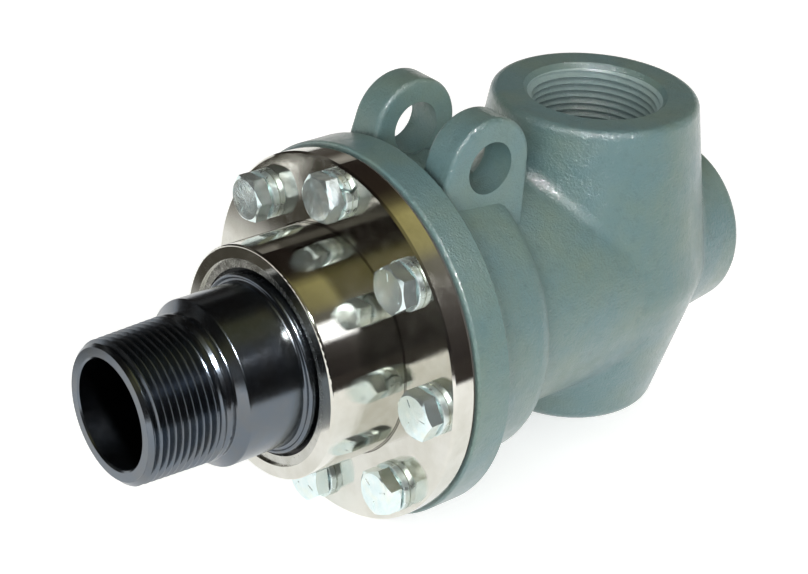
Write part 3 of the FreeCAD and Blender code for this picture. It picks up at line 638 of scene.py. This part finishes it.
def boltMark(s, top, angle):
    inner, outer, width, height = s["marks"]
    points = []
    for level, draft in ((top - s["markRoot"], 0.0), (top + height, s["markDraft"])):
        for along, side in ((inner + draft, -1), (outer - draft, -1), (outer - draft, 1), (inner + draft, 1)):
            points.append((level, along, side * (width / 2 - draft)))
    faces = [(0, 1, 2, 3), (7, 6, 5, 4)] + [(i, i + 4, (i + 1) % 4 + 4, (i + 1) % 4) for i in range(4)]
    return placed((points, faces), Matrix.Rotation(angle, 4, "X"))


def makeBolt(s):
    segments = s["segments"]
    seat, top, flats = s["length"], s["length"] + s["headHeight"], s["acrossFlats"]
    bearing, step = s["underside"]
    slope = math.tan(math.radians(s["crownAngle"]))
    rows = [[] for ring in range(9)]
    for turn in range(segments):
        angle = 2 * math.pi * turn / segments
        edge = hexRadius(flats, angle)
        spots = [
            (s["thread"]["end"], s["shank"]),
            (seat, s["shank"]),
            (seat, bearing),
            (seat + step, bearing),
            (seat + step, edge - s["skirt"]),
            (seat + step + s["skirt"], edge),
            (top - (edge - s["crown"]) * slope, edge),
            (top, s["crown"]),
            (top, 0.0),
        ]
        for row, (along, radius) in zip(rows, spots):
            row.append(ringPoint(along, radius, angle))
    tip = lathe([(0.0, 0.0), (0.0, s["thread"]["startRadius"])], segments)
    marks = [boltMark(s, top, math.radians(angle)) for angle in s["markAngles"]]
    return joined(tip, thread(s["thread"], segments), skin(rows), *marks)


def makeBolts(s):
    bolt = makeBolt(s)
    shapes = []
    for index in range(s["count"]):
        angle = 2 * math.pi * index / s["count"]
        tip = Vector((s["seat"] + s["length"], s["circle"] * math.sin(angle), s["circle"] * math.cos(angle)))
        turn = Matrix.Rotation(math.pi, 4, "Z") @ Matrix.Rotation(math.radians(s["turns"][index]), 4, "X")
        shapes.append(placed(bolt, Matrix.Translation(tip) @ turn))
    piece = makePiece("hexBolts", joined(*shapes), "brightZinc", "housing_assembly", s["sharp"])
    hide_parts("cap_bolts")


makeBolts(boltSet)
print("bolts made:", boltSet["count"])

# split spring washers under the bolt heads

washerSet = {
    "count": 8,
    "circle": 47.0,
    "front": 47.8,
    "thickness": 2.1,
    "inside": 4.1,
    "outside": 7.4,
    "edge": 0.25,
    "gap": 9.0,  # degrees between the two ends
    "skew": 10.0,  # degrees that the cut leans from front to back
    "turns": (150, 20, -30, 40, 10, -20, 30, 0),  # where each cut faces, degrees from +y towards +z
    "steps": 44,
}


def makeWasher(s):
    steps = s["steps"]
    low, high, edge, thick = s["inside"], s["outside"], s["edge"], s["thickness"]
    section = ((0.0, low + edge), (0.0, high - edge), (edge, high), (thick - edge, high),
               (thick, high - edge), (thick, low + edge), (thick - edge, low), (edge, low))
    count = len(section)
    points = []
    for step in range(steps + 1):
        sweep = math.radians(s["gap"] / 2 + (360 - s["gap"]) * step / steps)
        for along, radius in section:
            lean = math.radians(s["skew"] * (along / thick - 0.5))
            points.append(ringPoint(along, radius, sweep + lean))
    faces = [tuple(range(count)), tuple(range(steps * count, (steps + 1) * count))]
    for step in range(steps):
        for corner in range(count):
            beside = (corner + 1) % count
            faces.append((step * count + corner, step * count + beside,
                          (step + 1) * count + beside, (step + 1) * count + corner))
    return points, faces


def makeWashers(s):
    washer = makeWasher(s)
    shapes = []
    for index in range(s["count"]):
        angle = 2 * math.pi * index / s["count"]
        centre = Vector((s["front"], s["circle"] * math.sin(angle), s["circle"] * math.cos(angle)))
        turn = Matrix.Rotation(math.radians(s["turns"][index]), 4, "X")
        shapes.append(placed(washer, Matrix.Translation(centre) @ turn))
    piece = makePiece("splitWashers", joined(*shapes), "dullZinc", "housing_assembly")
    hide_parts("lock_washers")


makeWashers(washerSet)
print("washers made:", washerSet["count"])

# wave spring, built at rest in a mesh of its own; in the union it flattens against the land as the seal
# slides back

springSet = {
    "steps": 96,
    "waves": 3,
    "span": (90.95, 94.85),  # from and to at rest
    "strip": 0.6,
    "radii": (20.9, 23.6),
    "land": 94.9,
    "travel": 1.5,
}


def makeWaveSpring(s):
    start, end = s["span"]
    low, high = s["radii"]
    strip, steps = s["strip"], s["steps"]
    swing = (end - start - strip) / 2
    rows = []
    for step in range(steps + 1):
        angle = 2 * math.pi * (step % steps) / steps
        front = start + swing * (1 + math.cos(s["waves"] * angle))
        section = ((front, low), (front, high), (front + strip, high), (front + strip, low))
        rows.append([ringPoint(along, radius, angle) for along, radius in section])
    piece = makePiece("flatteningSpring", skin(rows), "springSteel", "housing_assembly")
    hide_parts("wave_spring")
    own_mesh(piece)


makeWaveSpring(springSet)
print("wave spring made")

# studio: a white floor, a pale sky and soft lamps

studioSet = {
    "floorHeight": -57.35,
    "floorSize": 9000.0,
    "floorColour": (0.86, 0.86, 0.86),
    "floorRoughness": 0.9,
    "floorGlow": 0.56,
    "skyRise": (0.0, 0.9),  # the sky changes between these heights
    "skyLight": (0.78, 0.36),  # near the horizon and overhead
    "skyTints": ((0.97, 1.0, 1.0), (1.0, 0.96, 0.86)),
    "lampAim": (90.0, 0.0, 0.0),
    "lamps": {
        "keyLamp": {"place": (-620, -640, 360), "size": 520, "watts": 5.8},
        "sideLamp": {"place": (420, -900, 220), "size": 600, "watts": 2.3},
        "backLamp": {"place": (520, 640, 640), "size": 500, "watts": 0.5},
    },
}

# an arch over the union, from the near horizon to the far one, which only gloss shows
archSet = {
    "centre": 45.0,
    "radius": 1100.0,
    "lean": (-76, 76),  # degrees away from the upright plane through the centre
    "sweep": (-2, 177),  # degrees from the near horizon over the top
    "steps": (24, 40),
    "ruffleNoise": (260.0, 3.0, 0.6),
    "ruffle": 0.02,  # how far the bands stray, as a share of half a turn
    # below the first share of its radius the arch has only the third share of its light, above the second all
    "dim": (0.50, 0.545, 0.42),
    "bands": (
        (0, (0.040, 0.034, 0.032)),
        (16, (0.055, 0.048, 0.044)),
        (30, (0.11, 0.10, 0.095)),
        (42, (0.14, 0.13, 0.12)),
        (60, (0.24, 0.23, 0.19)),
        (70, (0.42, 0.38, 0.18)),
        (92, (0.46, 0.41, 0.17)),
        (102, (0.10, 0.085, 0.045)),
        (112, (0.030, 0.022, 0.016)),
        (142, (0.024, 0.018, 0.015)),
        (150, (0.42, 0.40, 0.36)),
        (160, (0.07, 0.06, 0.05)),
        (177, (0.12, 0.11, 0.10)),
    ),
}

# cards that only gloss shows: where each stands, the way it faces, the way its upper edge points, its
# size in millimetres, the share of it that fades at the edge, and its light
cardSet = {
    "hubCard": {"place": (184, -206, 188), "faces": (-0.55, 0.62, -0.56), "up": (0, 0.66, 0.75),
                "size": (26, 100), "soft": 0.4, "colour": (3.8, 3.8, 3.9)},
    "collarCard": {"place": (326, -382, 380), "faces": (-0.52, 0.62, -0.59), "up": (0, 0.66, 0.75),
                   "size": (24, 36), "soft": 0.4, "colour": (30.0, 30.0, 31.0)},
    "glintCard": {"place": (-174, -350, 560), "faces": (0.42, 0.50, -0.757), "up": (0, 0, 1),
                  "size": (70, 70), "soft": 0.2, "colour": (1100.0, 1100.0, 1100.0)},
    "skirtCard": {"place": (150, -285, -22), "faces": (0, 1, 0), "up": (0, 0, 1),
                  "size": (900, 70), "soft": 0.06, "colour": (0.045, 0.038, 0.034)},
    "shadeCard": {"place": (-138, 180, -57.2), "faces": (0, 0, 1), "up": (0, 1, 0),
                  "size": (220, 150), "soft": 0.2, "colour": (0.070, 0.064, 0.052)},
    "farSpot": {"place": (-77, 187, -57.1), "faces": (0, 0, 1), "up": (0, 1, 0),
                "size": (15, 12), "soft": 0.8, "colour": (5.0, 5.0, 4.9)},
    "nearSpot": {"place": (-101, 150, -57.1), "faces": (0, 0, 1), "up": (0, 1, 0),
                 "size": (15, 12), "soft": 0.8, "colour": (5.0, 5.0, 4.9)},
}


def addStage(name, points, faces, material):
    mesh = bpy.data.meshes.new(name)
    mesh.from_pydata([Vector(point) * mm for point in points], [], faces)
    mesh.materials.append(material)
    stage = bpy.data.objects.new(name, mesh)
    scene.collection.objects.link(stage)
    return stage


def glossOnly(stage):
    stage.visible_camera = False
    stage.visible_diffuse = False
    stage.visible_transmission = False
    stage.visible_shadow = False


def seenRay(tree):
    path = addNode(tree, "LightPath").outputs
    seen = maths(tree, "MAXIMUM", path["Is Camera Ray"], path["Is Glossy Ray"])
    return maths(tree, "MAXIMUM", seen, path["Is Transmission Ray"])


def makeFloor(s):
    material, tree, shader = newMaterial("paleFloor", {
        "Base Color": (*s["floorColour"], 1.0), "Roughness": s["floorRoughness"], "Specular IOR Level": 0.0,
        "Emission Color": (1, 1, 1, 1)})
    glow = maths(tree, "MULTIPLY", seenRay(tree), s["floorGlow"])
    tree.links.new(glow, shader.inputs["Emission Strength"])
    half, low = s["floorSize"] / 2, s["floorHeight"]
    corners = [(-half, -half, low), (half, -half, low), (half, half, low), (-half, half, low)]
    addStage("floor", corners, [(0, 1, 2, 3)], material)


def makeSky(s):
    world = bpy.data.worlds.new("paleSky")
    world.use_nodes = True
    tree = world.node_tree
    tree.nodes.clear()
    low, high = s["skyLight"]
    rise = addNode(tree, "SeparateXYZ", inputs={"Vector": addNode(tree, "TexCoord").outputs["Generated"]})
    light = spread(tree, rise.outputs["Z"], low, high, *s["skyRise"])
    tint = mixed(tree, spread(tree, rise.outputs["Z"], 0.0, 1.0, *s["skyRise"]), *s["skyTints"])
    seen = seenRay(tree)
    colour = mixed(tree, seen, tint, (1.0, 1.0, 1.0))
    strength = maths(tree, "MAXIMUM", light, seen)
    sky = addNode(tree, "Background", inputs={"Color": colour, "Strength": strength})
    addNode(tree, "OutputWorld", inputs={"Surface": sky.outputs["Background"]})
    scene.world = world


def makeLamp(name, s, target):
    data = bpy.data.lights.new(name, "AREA")
    data.shape = "SQUARE"
    data.size = s["size"] * mm
    data.energy = s["watts"]
    lamp = bpy.data.objects.new(name, data)
    scene.collection.objects.link(lamp)
    place = Vector(s["place"])
    aim = (Vector(target) - place).to_track_quat("-Z", "Y").to_matrix().to_4x4()
    lamp.matrix_world = Matrix.Translation(place * mm) @ aim
    lamp.visible_glossy = False


def makeArch(s):
    material = bpy.data.materials.new("archBands")
    material.use_nodes = True
    tree = material.node_tree
    tree.nodes.clear()
    point = partPoint(tree)
    split = addNode(tree, "SeparateXYZ", inputs={"Vector": point})
    near = maths(tree, "MULTIPLY", split.outputs["Y"], -1.0)
    turned = maths(tree, "ARCTAN2", split.outputs["Z"], near)
    ruffle = spread(tree, noise(tree, point, *s["ruffleNoise"]), -s["ruffle"], s["ruffle"])
    share = maths(tree, "ADD", maths(tree, "DIVIDE", turned, math.pi), ruffle)
    ramp = addNode(tree, "ValToRGB", inputs={"Fac": share})
    for index, (angle, colour) in enumerate(s["bands"]):
        stops = ramp.color_ramp.elements
        stop = stops[index] if index < 2 else stops.new(angle / 180)
        stop.position = angle / 180
        stop.color = (*colour, 1.0)
    first, second, faded = s["dim"]
    ends = ((s["centre"] + s["radius"] * reach) * mm for reach in (first, second))
    light = spread(tree, split.outputs["X"], faded, 1.0, *ends)
    glow = addNode(tree, "Emission", inputs={"Color": ramp.outputs["Color"], "Strength": light})
    addNode(tree, "OutputMaterial", inputs={"Surface": glow.outputs["Emission"]})

    across, along = s["steps"]
    rows = []
    for row in range(along + 1):
        sweep = math.radians(s["sweep"][0] + (s["sweep"][1] - s["sweep"][0]) * row / along)
        for column in range(across + 1):
            lean = math.radians(s["lean"][0] + (s["lean"][1] - s["lean"][0]) * column / across)
            rows.append((s["centre"] + s["radius"] * math.sin(lean),
                         -s["radius"] * math.cos(lean) * math.cos(sweep),
                         s["radius"] * math.cos(lean) * math.sin(sweep)))
    faces = []
    for row in range(along):
        for column in range(across):
            corner = row * (across + 1) + column
            faces.append((corner, corner + 1, corner + across + 2, corner + across + 1))
    glossOnly(addStage("glossArch", rows, faces, material))


def makeCard(name, s):
    material = bpy.data.materials.new(name)
    material.use_nodes = True
    tree = material.node_tree
    tree.nodes.clear()
    split = addNode(tree, "SeparateXYZ", inputs={"Vector": partPoint(tree)})
    shares = []
    for axis, size in zip("XY", s["size"]):
        away = maths(tree, "ABSOLUTE", split.outputs[axis])
        edge = size / 2 * mm
        shares.append(spread(tree, away, 1.0, 0.0, edge * (1 - s["soft"]), edge))
    share = maths(tree, "MULTIPLY", *shares)
    glow = addNode(tree, "Emission", inputs={"Color": (*s["colour"], 1.0)})
    clear = addNode(tree, "BsdfTransparent")
    both = addNode(tree, "MixShader", inputs={0: share, 1: clear.outputs[0], 2: glow.outputs[0]})
    addNode(tree, "OutputMaterial", inputs={"Surface": both.outputs[0]})
    wide, tall = s["size"][0] / 2, s["size"][1] / 2
    corners = [(-wide, -tall, 0), (wide, -tall, 0), (wide, tall, 0), (-wide, tall, 0)]
    card = addStage(name, corners, [(0, 1, 2, 3)], material)
    out = Vector(s["faces"]).normalized()
    across = Vector(s["up"]).cross(out).normalized()
    turn = Matrix((across, out.cross(across), out)).transposed().to_4x4()
    card.matrix_world = Matrix.Translation(Vector(s["place"]) * mm) @ turn
    glossOnly(card)


makeFloor(studioSet)
makeSky(studioSet)
for name, values in studioSet["lamps"].items():
    makeLamp(name, values, studioSet["lampAim"])
makeArch(archSet)
for name, values in cardSet.items():
    makeCard(name, values)
scene.view_settings.view_transform = "Standard"
print("studio lit")
